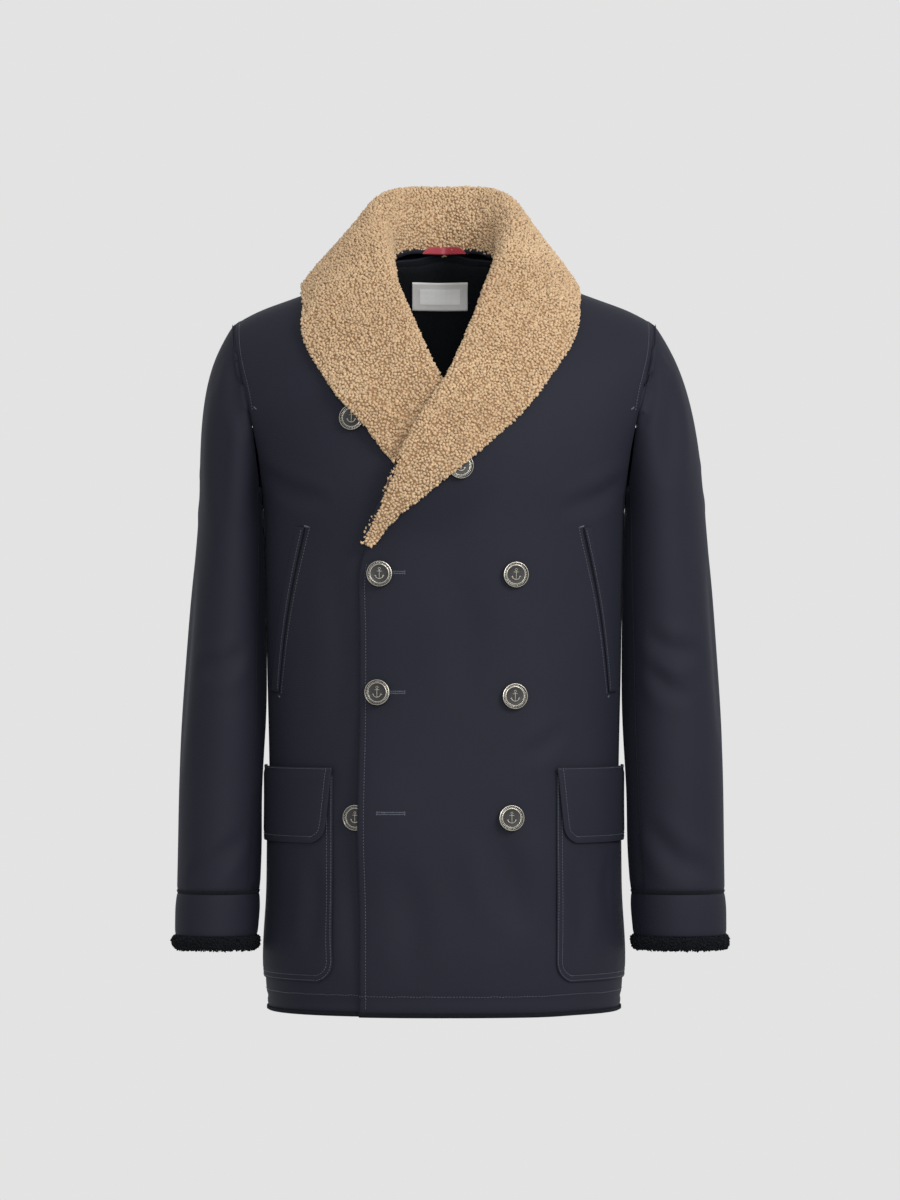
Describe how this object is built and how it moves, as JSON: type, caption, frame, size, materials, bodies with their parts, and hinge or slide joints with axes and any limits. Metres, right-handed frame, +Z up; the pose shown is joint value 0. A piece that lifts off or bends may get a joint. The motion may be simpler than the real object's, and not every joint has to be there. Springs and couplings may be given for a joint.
{
  "type": "double-breasted coat",
  "caption": "Hip-length double-breasted coat in navy cloth with a curly pile shawl collar, flapped patch pockets and pile-edged cuffs, filled out as it is worn.",
  "frame": {"origin": "middle of the neck opening, level with the back neck seam, where the neck and shoulders of the wearer or hanger hold the coat", "axes": "+Z up, the coat faces -Y, +X towards the wearer's left"},
  "size_m": [0.5864, 0.3263, 0.8724],
  "materials": {
    "navy_cloth": "matt densely woven shell cloth",
    "collar_pile": "curly sheepskin pile",
    "black_pile": "short dense pile",
    "loop_tape": "woven tape",
    "label_cloth": "woven, blank",
    "button_metal": "dark antiqued silver"
  },
  "bodies": {
    "root": {"front_left": "navy_cloth", "front_right": "navy_cloth", "back": "navy_cloth", "sleeve_left_upper": "navy_cloth", "sleeve_left_under": "navy_cloth", "sleeve_right_upper": "navy_cloth", "sleeve_right_under": "navy_cloth", "cuff_left": "navy_cloth", "cuff_right": "navy_cloth", "cuff_pile_left": "black_pile", "cuff_pile_right": "black_pile", "collar_left": "collar_pile", "collar_right": "collar_pile", "lining_back": "black_pile", "hang_loop": "loop_tape", "label": "label_cloth", "pocket_left": "navy_cloth", "pocket_right": "navy_cloth", "pocket_flap_left": "navy_cloth", "pocket_flap_right": "navy_cloth", "pocket_welt_left": "navy_cloth", "pocket_welt_right": "navy_cloth", "button_collar_right": "button_metal", "button_top_right": "button_metal", "button_middle_right": "button_metal", "button_low_right": "button_metal", "button_collar_left": "button_metal", "button_top_left": "button_metal", "button_middle_left": "button_metal", "button_low_left": "button_metal"}
  },
  "joints": []
}
